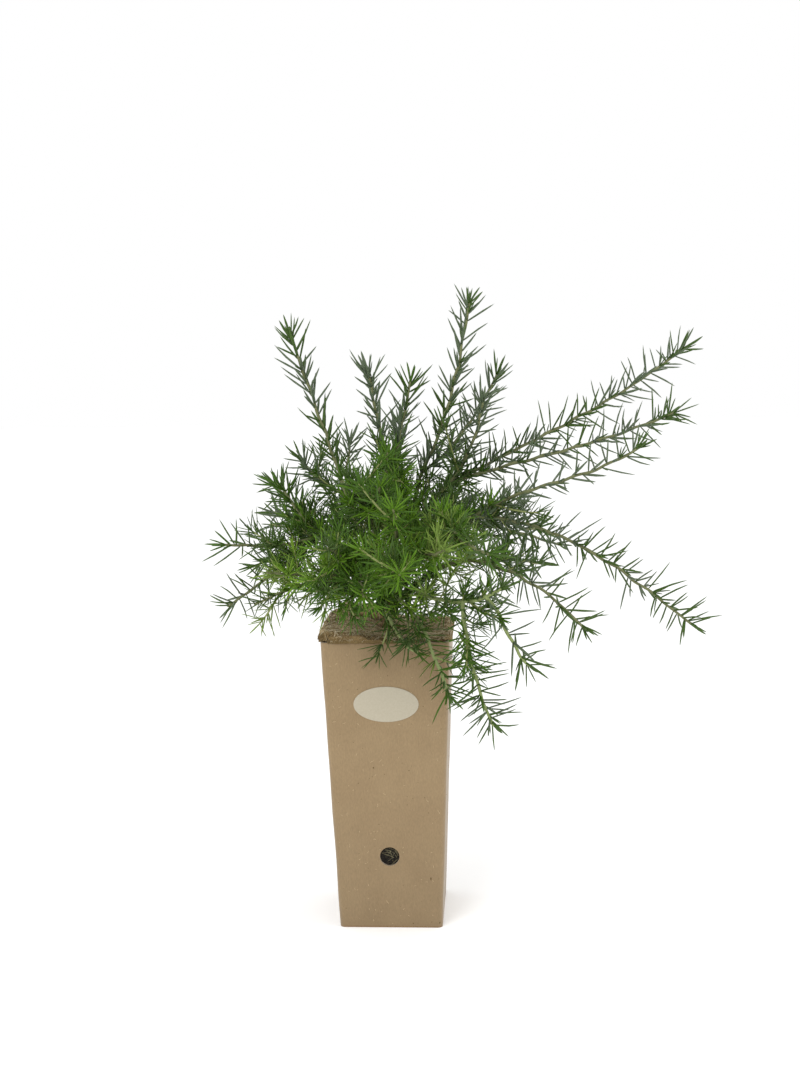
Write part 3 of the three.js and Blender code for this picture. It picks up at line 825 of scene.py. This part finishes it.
def add_stem(batch, curve, foot, tip, sides, tint, back=0.0):
    """Adds a stem that thickens at each leaf base. It starts a little back, inside what carries it."""
    least, step, swell, end = 4, 1.7, 0.05, 0.6
    share = np.linspace(0, 1, max(least, math.ceil(curve.length() / step)) + 1)
    centres = curve.at(share)
    radii = mix(foot, tip, share) * (1 + swell * (np.arange(len(share)) % 2))
    centres[0] -= curve.tangent(0.0) * back
    radii[-1] *= end
    batch.add(*tube(centres, radii, sides), tint)


def spray_paths(curve, row, random):
    """Short side shoots, as in the solids."""
    made = []
    for i in range(SPRAY.most):
        share = (SPRAY.start + SPRAY.span * (i + random()) / SPRAY.most) / curve.length()
        start = curve.at(share)
        if share > SPRAY.last or outness(start, CROWN) > 1:
            break
        turn = i * GOLDEN_ANGLE + row * SPRAY.row_turn
        direction = leaning(curve.tangent(share)[None], [turn], [math.radians(SPRAY.angle)])[0]
        length = SPRAY.length * mix(0.75, 1.1, random())
        middle = start + direction * length / 2
        spray = Curve(start, middle, middle + direction * length / 2 + UP * SPRAY.lift * length / 2)
        if keeps_space(spray.at(np.linspace(0, 1, SPRAY.checks))[1:], row, SPRAY.foot).all():
            made.append(spray)
    return made


def fine_paths(curve, random, pitch, length):
    """Finer twigs on a stem, where it runs through the heart of the crown."""
    made = []
    whole = curve.length()
    along = FINE.first + random() * pitch
    turn = random() * ANY_TURN
    while along < FINE.last * whole:
        share = along / whole
        start = curve.at(share)
        depth = outness(start, FINE)
        turn += GOLDEN_ANGLE
        reach = length * mix(FINE.inner, FINE.outer, min(1, depth)) * mix(0.75, 1.2, random())
        angle = math.radians(FINE.angle + mix(-10, 10, random()))
        direction = leaning(curve.tangent(share)[None], [turn], [angle])[0]
        tip = start + unit(direction + UP * FINE.lift) * reach
        along += pitch * mix(0.7, 1.3, random())
        if depth > 1 or start[2] < (FINE.right_low if start[0] > FINE.right else FINE.low):
            continue
        twig = Curve(start, start + direction * reach / 2, tip)
        if not in_pot(twig.at(np.linspace(0, 1, FINE.checks)[1:]), FINE.margin).any():
            made.append(twig)
    return made


def foliage(limb):
    """One mass: its stems, the side shoots of the solids, finer twigs on them, and all their needles."""
    random = chance(limb.row + 1)
    sprays = [spray for stem in limb.stems for spray in spray_paths(stem, limb.row, random)]
    leaves, twigs = Batch(), Batch()

    def deal(place):
        """The tint of a spray: fresher in the heart of the crown, older outside, and brighter low at the
        front, partly as fresh growth and partly as painted light.
        """
        pick = random()
        out = outness(place, HEART)
        if out > 1:
            tints = DEALT.far_out if out > HEART.far_out else DEALT.outside
        # Painted light in part: sprays low at the front take the brighter tints
        elif outness(place, FRONT) + mix(-0.2, 0.2, random()) < FRONT.limit:
            tints = DEALT.front
            if place[0] > FRONT.right and place[2] < FRONT.right_high:
                tints = DEALT.right if place[2] > FRONT.right_low else DEALT.inside
        else:
            tints = DEALT.left if place[0] < FRONT.left and place[1] < FRONT.left_back else DEALT.inside
        return tints[int(pick * len(tints))]

    def brighter(tint, most):
        """The tint of a spray's youngest needles."""
        return min(tint + 1, most) if tint < most and random() < HEART.brighter else tint

    for i, (stem, look) in enumerate(zip(limb.stems, limb.looks)):
        foot, tip = (STEM.foot, STEM.fork) if i == 0 else (STEM.fork, STEM.tip)
        crooked = stem if i == 0 else Crooked(stem, random)
        # Painted light: the stout limbs low at the front take the lighter stem colour
        tone = PAINTED_LIT_GREEN if limb.stout > 1 else WOODY
        add_stem(twigs, crooked, foot * limb.stout, tip * limb.stout, STEM.sides, tone, STEM.back)
        parts = max(1, round(stem.length() / PATCH))
        for low, high in zip(np.arange(parts) / parts, (np.arange(parts) + 1) / parts):
            patch = Stretch(crooked, low, high)
            young = outness(patch.at(0.5), HEART) < 1
            tint = deal(patch.at(0.5))
            fresh = brighter(tint, FRESH if young else FULL)
            kind = YOUNG_NEEDLE if young else NEEDLE
            ends = mix(foot, tip, low), mix(foot, tip, high)
            clothe(patch, *ends, leaves, random, kind, tint, fresh, look, brush=high == 1)
    kind, look = YOUNG_NEEDLE, limb.looks[0]
    for spray in sprays:
        add_stem(twigs, spray, SPRAY.foot, SPRAY.tip, SPRAY.sides, GREEN)
        tint = deal(spray.at(0.5))
        clothe(spray, SPRAY.foot, SPRAY.tip, leaves, random, kind, tint, brighter(tint, FRESH), look)
    for parent in [*limb.stems, *sprays]:
        pitch, length = FINE.pitch, FINE.length
        if parent in sprays:
            pitch, length = pitch * FINE.spray_pitch, length * FINE.spray_length
        for twig in fine_paths(parent, random, pitch, length):
            tint = deal(twig.at(0.5))
            fresh = brighter(tint, YOUNG)
            add_stem(twigs, twig, FINE.foot, FINE.tip, FINE.sides, GREEN)
            clothe(twig, FINE.foot, FINE.tip, leaves, random, kind, tint, fresh, look, FINE.size, FINE.bare)

    node = "needles_" + limb.name
    settle(leaves.make("leaves_" + limb.name, NEEDLE_TINTS), "foliage", node)
    settle(twigs.make("twigs_" + limb.name, STEM_TINTS), "foliage", node)


# Trunk and boughs


def trunk_radius(share, angle):
    """The trunk flares at its foot into a few ridges."""
    high, ridges, turn = 0.22, 4, 0.6
    flare = np.exp(-share * TRUNK.height / TRUNK.flare_height)
    ridged = 1 + high * flare * np.cos(ridges * angle + turn)
    return (mix(TRUNK.foot, TRUNK.top, share) + TRUNK.flare * flare) * ridged


def bark_height(place):
    """Folds that run up the bark, and its fine grain."""
    across, along, crest, high, grain, grain_high, sunk = 0.55, 0.22, 0.35, 0.42, 0.9, 0.14, 0.08
    folded = Vector((place[0] * across, place[1] * across, place[2] * along))
    folds = high * (crest - abs(noise.noise(folded)))
    return folds + grain_high * noise.noise(Vector(place) * grain) - sunk


def woody_parts():
    """Trunk and boughs in one skin, with the bark's relief. Each bough swells into a collar at its foot."""
    rings, sides, bough_sides, step, swell, collar_length = 41, 28, 12, 1.5, 0.5, 4
    batch = Batch()
    share = np.linspace(0, 1, rings)
    angles = np.arange(sides) * FULL_TURN / sides
    batch.add(*tube(trunk_axis.at(share), trunk_radius(share[:, None], angles[None]), sides))
    for limb in limbs:
        line = limb.bough.even(step)
        away = np.linspace(0, limb.bough.length(), len(line))
        collar = 1 + swell * np.exp(-np.maximum(away - TRUNK.foot, 0) / collar_length)
        radii = mix(BOUGH.foot, BOUGH.end, np.linspace(0, 1, len(line))) * collar
        batch.add(*tube(line, radii, bough_sides))
    made = one_skin(batch.make("trunk_and_boughs", [BARK]), voxel=0.5, rounds=3)
    roughen(made, bark_height)
    places = vectors_of(made.data, "co")
    places[:, 2] = np.maximum(places[:, 2], trunk_foot[2] * MM)
    made.data.vertices.foreach_set("co", places.ravel())
    made.data.update()
    settle(made, "bark", "trunk", *("bough_" + limb.name for limb in limbs))


# Mat


def felted(name, voxel, rounds):
    """A finely divided, lumpy copy of one of the coir solids."""
    lumps = (0.12, 0.9), (0.4, 0.7), (1.1, 0.35)
    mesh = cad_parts[name].data.copy()
    mesh.materials.clear()
    mesh.name = name + "_felted"
    made = one_skin(dressed(mesh, [COIR]), voxel, rounds)
    roughen(made, lambda place: sum(noise.noise(Vector(place) * scale) * high for scale, high in lumps))
    return made


def seat_on_rim(mat):
    """Presses the mat's soft underside down onto the rim, and lets its outer edge hang a little over it."""
    reach, press, clear, wall, edge_from, facing = 6, 1.5, 0.05, 0.3, 4, 0.25
    drop, past, corner_from, corner_past = 0.6, 1.5, 0.93, 1.4
    places, normals = vectors_of(mat.data, "co") / MM, vectors_of(mat.data, "normal")
    half = pot_half(POT.height)
    share = np.clip((places[:, 2] - POT.height) / reach, 0, 1)
    far = np.abs(places[:, :2])
    low = (share < 1) & (far.max(axis=1) > half - POT.wall + wall)
    skirt = np.zeros(len(places), bool)
    for axis in range(2):
        side = np.sign(places[:, axis])
        edge = low & (far[:, axis] > half - edge_from) & (normals[:, axis] * side > facing)
        corner = np.clip((far[edge, 1 - axis] / half - corner_from) / (1 - corner_from), 0, 1)
        places[edge, axis] = side[edge] * np.maximum(far[edge, axis], half + past - corner_past * corner)
        skirt |= edge
    lowest = np.where(skirt, -drop, clear)
    pressed = lowest + (reach - lowest) * share**press
    places[low, 2] = POT.height + pressed[low]
    move_points(mat.data, places)


def coir_parts():
    mat = felted("coir_mat", voxel=0.8, rounds=2)
    seat_on_rim(mat)
    flap = felted("coir_flap", voxel=0.7, rounds=4)
    settle(mat, "coir", "coir_mat")
    settle(flap, "coir", "coir_flap")
    random, batch = chance(71), Batch()
    trees = [search_tree(mat), search_tree(flap)]
    loose_strands(trees, random, batch)
    fringe(trees[0], random, batch)
    settle(batch.make("coir_fibres", FIBRES), "coir")


def loose_strands(trees, random, batch):
    """Loose strands that lie over the mat and its flap, and arch a little off the felt."""
    count, steps, least, off, above, lowest, past = 2600, 7, 4, 0.05, 400, 4, 1

    def surface(x, y):
        hits = [met(tree, np.array([x, y, above]), UP) for tree in trees]
        hits = [hit for hit in hits if hit and hit[0][2] >= POT.height - lowest]
        return max(hits, key=lambda hit: hit[0][2], default=None)

    half = pot_half(POT.height) + MAT.overhang + past
    for _ in range(count):
        x, y = mix(-half, half, random()), mix(-half, half, random())
        bearing = random() * FULL_TURN
        curl = mix(-0.1, 0.1, random())
        length = mix(6, 24, random() ** 1.5)
        lift = mix(0.0, 0.8, random() ** 2)
        line = []
        for i in range(steps):
            found = surface(x, y)
            if found is None:
                break
            line.append(found[0] + found[1] * (off + lift * math.sin(math.pi * i / (steps - 1))))
            bearing += curl * length / steps
            x += math.cos(bearing) * length / steps
            y += math.sin(bearing) * length / steps
        if len(line) < least:
            continue
        thick = mix(0.11, 0.24, random())
        taper = 1 - 0.6 * np.abs(np.linspace(-1, 1, len(line))) ** 3
        batch.add(*tube(line, thick * taper, sides=3), int(random() * len(FIBRES)))


def out_of_side(turn):
    """The directions out of the side of the pot at a turn, and level along it."""
    return np.array([math.cos(turn), math.sin(turn), 0]), np.array([-math.sin(turn), math.cos(turn), 0])


def any_side(random):
    return int(random() * 4) * math.pi / 2


def met(tree, start, out, facing=-2):
    """Where a line from start straight in meets the piece, and its normal there, if that faces outward."""
    hit, normal, _, _ = tree.ray_cast(Vector(start * MM), Vector(-out))
    if hit is None or normal.dot(Vector(out)) < facing:
        return None
    return np.array(hit) / MM, np.array(normal)


def fringe(tree, random, batch):
    """Short hairs that stand out of the mat's outer edge all round."""
    count, inset, lowest, rings, back = 900, 1, 0.8, 6, 0.15
    for _ in range(count):
        out, level = out_of_side(any_side(random))
        across = mix(-1, 1, random()) * (pot_half(POT.height) - inset)
        height = POT.height + mix(lowest, MAT.above + MAT.rise, random())
        found = met(tree, out * BESIDE + level * across + UP * height, out, facing=0.1)
        if found is None:
            continue
        root, normal = found
        away = normal * mix(0.2, 1, random()) + level * mix(-1.4, 1.4, random())
        away = unit(away + UP * mix(-0.5, 0.9, random()))
        length = mix(1.2, 4.5, random() ** 2)
        droop = UP * mix(-0.5, 0.3, random()) * length
        line = [root + away * length * s + droop * s * s for s in np.linspace(-back, 1, rings)]
        radii = mix(0.07, 0.15, random()) * np.linspace(1, 0.5, rings)
        batch.add(*tube(line, radii, sides=3), int(mix(1, len(FIBRES), random())))


# Pot


def shell_ring(half, corner, height, seam=False):
    """One ring of the pot's skin, with the raised seam near one corner of the back."""
    across, round_corner, width, lip, ease = 18, 7, 13, 0.45, 0.8
    made = []
    flat = half - corner
    for side in range(4):
        turn = side * math.pi / 2
        cos, sin = math.cos(turn), math.sin(turn)
        raised = seam and side == 1
        for a in np.linspace(-flat, flat, across):
            out = half
            if raised and a > flat - width:
                out += lip * min(1, (a - (flat - width)) / ease)
            made.append((out * cos - a * sin, out * sin + a * cos, height))
        for i in range(1, round_corner):
            angle = turn + math.pi / 2 * i / round_corner
            size = corner + (lip if raised else 0) * (1 - i / round_corner)
            x, y = flat * (cos - sin), flat * (sin + cos)
            made.append((x + size * math.cos(angle), y + size * math.sin(angle), height))
    return made


def pot_shell():
    """The cardboard pot: tapered walls with rounded corners and softened edges, a seam and a drain hole."""
    # A ring of the foot has a height and one of the rim a depth below the top, each with an inset
    edge = 0.25
    foot = (0, edge), (edge * 0.3, edge * 0.3), (edge, 0)
    rim = (0.3, 0.15), (0, 0.7), (0, POT.wall - 0.7), (0.3, POT.wall - 0.15), (1, POT.wall)
    low, high, outer_rings, inner_high, inner_rings = 3, POT.height - 1, 48, POT.height - 6, 14
    inner, seam_low, seam_high = POT.corner - 1, 4, POT.height - 2
    rings = [shell_ring(pot_half(height) - inset, POT.corner, height) for height, inset in foot]
    for height in np.linspace(low, high, outer_rings):
        rings.append(shell_ring(pot_half(height), POT.corner, height, seam_low < height < seam_high))
    for below, inset in rim:
        height = POT.height - below
        rings.append(shell_ring(pot_half(height) - inset, inner, height))
    for height in np.linspace(inner_high, POT.base, inner_rings):
        rings.append(shell_ring(pot_half(height) - POT.wall, inner, height))
    shell, drill = Batch(), Batch()
    shell.add(*stacked(rings, (0, 0, 0), (0, 0, POT.base)))
    made = shell.make("cardboard_pot", [CARDBOARD], False)

    face, deep = -pot_half(DRAIN.height), 6
    ends = [(0, face - deep, DRAIN.height), (0, face + deep, DRAIN.height)]
    drill.add(*tube(ends, [DRAIN.radius] * 2, sides=48))
    cutter = drill.make("drill", [CARDBOARD], False)
    hole = made.modifiers.new("hole", "BOOLEAN")
    hole.object = cutter
    hole.operation = "DIFFERENCE"
    hole.solver = "EXACT"
    applied(made)
    bpy.data.objects.remove(cutter)

    roughen(made, dent)
    made.data.set_sharp_from_angle(angle=math.radians(35))
    board_flecks(search_tree(made))
    settle(made, "cardboard", "pot")


def dent(place):
    """The board's unevenness, away from the label and the pot's ends."""
    waves, ends, round_label = ((0.025, 0.3), (0.15, 0.06)), 1, 3
    x, y, z = place
    beside = abs(x) < LABEL.width / 2 + round_label and abs(z - LABEL.height) < LABEL.tall / 2 + round_label
    if beside and y < 0 or z < ends or z > POT.height - ends:
        return 0
    return sum(noise.noise(Vector(place) * scale) * deep for scale, deep in waves)


def board_flecks(tree):
    """Pale fibres and dark chips in the surface of the recycled board."""
    count, chips, ends, sunk, taper = 560, 0.3, 3, 0.5, np.array([0.5, 0.9, 1, 0.8, 0.5])
    random = chance(29)
    batch = Batch()

    def lay(side, across, height, length, turn, curl, thick, kind):
        out, level = out_of_side(side)
        place = out * BESIDE + level * across + UP * height
        line = []
        for _ in taper:
            found = met(tree, place, out, facing=0.8)
            if found is None:
                return
            line.append(found[0] - found[1] * thick * sunk)
            place = place + (level * math.cos(turn) + UP * math.sin(turn)) * length / (len(taper) - 1)
            turn += curl
        batch.add(*tube(line, thick * taper, sides=6), kind)

    for across, height, length, turn, thick in CHIPS:
        lay(-math.pi / 2, across, height, length, math.radians(turn), curl=0.1, thick=thick, kind=1)
    for _ in range(count):
        side, height = any_side(random), mix(ends, POT.height - ends, random())
        across = mix(-1, 1, random()) * (pot_half(height) - POT.corner)
        chip = random() < chips
        length = mix(0.5, 1.3, random()) if chip else mix(1.2, 4.2, random() ** 2)
        thick = mix(0.18, 0.38, random()) if chip else mix(0.09, 0.17, random())
        turn = random() * math.pi
        curl = mix(-0.5, 0.5, random())
        lay(side, across, height, length, turn, curl, thick, int(chip))
    settle(batch.make("board_flecks", FLECKS), "cardboard")


def label_oval():
    """A thin bare oval of paper on the front. Its rings have an inset from the outline and stand proud."""
    count = 128
    steps = (0, 0), (0, 0.18), (0.12, 0.27), (0.5, LABEL.thick), (6, LABEL.thick)
    slope = math.atan((POT.top - POT.bottom) / 2 / POT.height)
    base = np.array([0, -pot_half(LABEL.height) - CLEAR / 2, LABEL.height])
    rise = np.array([0, -math.sin(slope), math.cos(slope)])
    out = np.array([0, -math.cos(slope), -math.sin(slope)])
    right = np.array([1.0, 0, 0])
    rings = []
    for inset, proud in steps:
        wide, tall = LABEL.width / 2 - inset, LABEL.tall / 2 - inset
        rings.append([
            base + right * (math.cos(angle) * wide) + rise * (math.sin(angle) * tall) + out * proud
            for angle in np.arange(count) * FULL_TURN / count
        ])
    batch = Batch()
    batch.add(*stacked(rings, base, base + out * LABEL.thick))
    made = batch.make("label_oval", [PAPER])
    made.data.set_sharp_from_angle(angle=math.radians(50))
    settle(made, "label_paper", "label")


# Potting mix


def lump(batch, centre, size, random):
    """One small angular crumb."""
    rings, sides = 4, 6
    share = np.linspace(0.08, 0.92, rings)
    axis = unit([mix(-1, 1, random()), mix(-1, 1, random()), mix(-1, 1, random())])
    centres = centre + axis * ((share - 0.5) * size)[:, None]
    widths = [size / 2 * math.sin(math.pi * s) for s in share]
    radii = [width * mix(0.75, 1.15, random()) for width in widths for _ in range(sides)]
    batch.add(*tube(centres, radii, sides))


def crumbs():
    """Crumbs of potting mix round the trunk and behind the drain hole, and the roots that show there."""
    on_top, raised, off_trunk, under_mat = 260, 0.3, 3.5, 1
    at_drain, sunk, deeper = 240, 0.25, np.array([0, 1.0, 0])
    root_count, root_rings, crossing, crossed = 11, 9, 0.3, 0.62
    random = chance(17)
    soil, roots = Batch(), Batch()
    for _ in range(on_top):
        angle = random() * FULL_TURN
        reach = mix(TRUNK.foot + off_trunk, MAT.hole + under_mat, random())
        size = mix(0.8, 2.4, random())
        height = SOIL_TOP + size * raised
        lump(soil, np.array([math.cos(angle) * reach, math.sin(angle) * reach, height]), size, random)
    face = -(pot_half(DRAIN.height) - POT.wall - CLEAR)
    for _ in range(at_drain):
        angle = random() * FULL_TURN
        reach = DRAIN.radius * math.sqrt(random())
        size = mix(0.6, 1.7, random())
        y, z = face - size * sunk, DRAIN.height + math.sin(angle) * reach
        lump(soil, np.array([math.cos(angle) * reach, y, z]), size, random)
    for _ in range(root_count):
        angle = mix(0.2, 1.2, random())
        angle += (math.pi if random() < crossing else 0) * crossed
        offset = mix(-0.8, 0.8, random()) * DRAIN.radius
        span = math.sqrt(DRAIN.radius**2 - offset**2) * 0.96
        along = np.array([math.cos(angle), 0, -math.sin(angle)])
        across = np.array([math.sin(angle), 0, math.cos(angle)])
        middle = np.array([0, face - mix(0.7, 1.3, random()), DRAIN.height]) + across * offset
        sway = mix(-1.4, 1.4, random())
        line = [
            middle + along * span * s + across * sway * math.sin(2.5 * s + sway) + deeper * 0.5 * s * s
            for s in np.linspace(-1, mix(0.2, 1, random()), root_rings)
        ]
        roots.add(*tube(line, np.full(root_rings, mix(0.1, 0.22, random())), sides=5))
    settle(soil.make("potting_crumbs", [POTTING_MIX], False), "potting_mix")
    settle(roots.make("drain_roots", [ROOT]), "bark")


# Camera, floor and light


def stage():
    scene = bpy.context.scene
    data = bpy.data.cameras.new("camera")
    data.sensor_width = 36
    data.lens = CAMERA.lens
    data.clip_start, data.clip_end = 0.01, 100
    scene.camera = placed("camera", data)
    matrix = Matrix.Translation(Vector(CAMERA.place) * MM)
    for angle, axis in ((CAMERA.turn, "Z"), (90 - CAMERA.pitch, "X"), (CAMERA.roll, "Z")):
        matrix = matrix @ Matrix.Rotation(math.radians(angle), 4, axis)
    scene.camera.matrix_world = matrix

    floor = Finish("pale_floor", 0.9)
    floor.feed("Base Color", (0.93, 0.93, 0.93, 1))
    floor.feed("Emission Color", (1, 1, 1, 1))
    floor.feed("Emission Strength", 0.12)
    mesh = bpy.data.meshes.new("floor")
    far = 6.0
    mesh.from_pydata([(-far, -far, 0), (far, -far, 0), (far, far, 0), (-far, far, 0)], [], [(0, 1, 2, 3)])
    dressed(mesh, [floor.material], False)

    world = bpy.data.worlds.new("studio")
    world.use_nodes = True
    light = world.node_tree.nodes["Background"].inputs
    light["Color"].default_value = (1, 1, 1, 1)
    light["Strength"].default_value = 1.0
    scene.world = world
    scene.view_settings.view_transform = "Standard"

    # Name, place in metres, size and power of each lamp
    aim = Vector((0, 0, 0.28))
    for name, place, size, power in (("key", (-0.7, -1.5, 1.5), 0.9, 16), ("side", (1.5, -0.3, 0.9), 0.7, 6)):
        lamp = bpy.data.lights.new(name, "AREA")
        lamp.size = size
        lamp.energy = power
        made = placed(name, lamp)
        made.location = place
        made.rotation_euler = (aim - Vector(place)).to_track_quat("-Z", "Y").to_euler()


stage()
pot_shell()
label_oval()
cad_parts["potting_mix"].material_slots[0].material = POTTING_MIX
crumbs()
coir_parts()
woody_parts()
for limb in limbs:
    foliage(limb)
